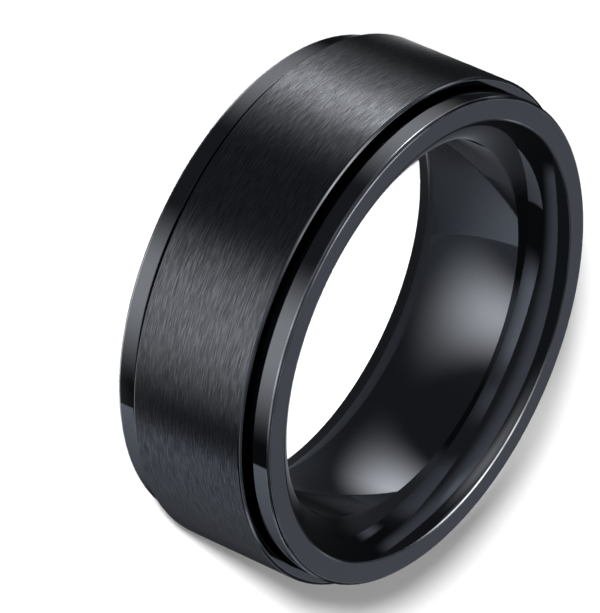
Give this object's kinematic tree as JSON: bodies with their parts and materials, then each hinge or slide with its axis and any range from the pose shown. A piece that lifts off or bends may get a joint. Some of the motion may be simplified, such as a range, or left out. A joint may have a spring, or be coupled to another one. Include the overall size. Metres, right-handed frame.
{
  "type": "spinner ring",
  "caption": "Wide finger ring with a rounded bore, a raised polished rim at each edge and a brushed outer band that spins freely between the rims.",
  "frame": {"origin": "centre of the lower end face, on the ring's axis, at the height of the surface it rests on", "axes": "+Z along the ring's axis, from the end face it rests on to the upper end face; the ring is round, so X and Y are any two directions across it"},
  "size_m": [0.0228, 0.0228, 0.008],
  "materials": {
    "polished_black_steel": "mirror-polished stainless steel with a black ion-plated coat",
    "brushed_black_steel": "stainless steel brushed round the ring, with a satin black ion-plated coat"
  },
  "bodies": {
    "inner": {"inner_band": "polished_black_steel"},
    "spinner": {"spinner_band": "brushed_black_steel"}
  },
  "joints": [
    {"name": "spinner_spin", "type": "hinge", "parent": "inner", "child": "spinner", "pos_m": [0, 0, 0.004], "axis": [0, 0, 1], "continuous": true}
  ]
}
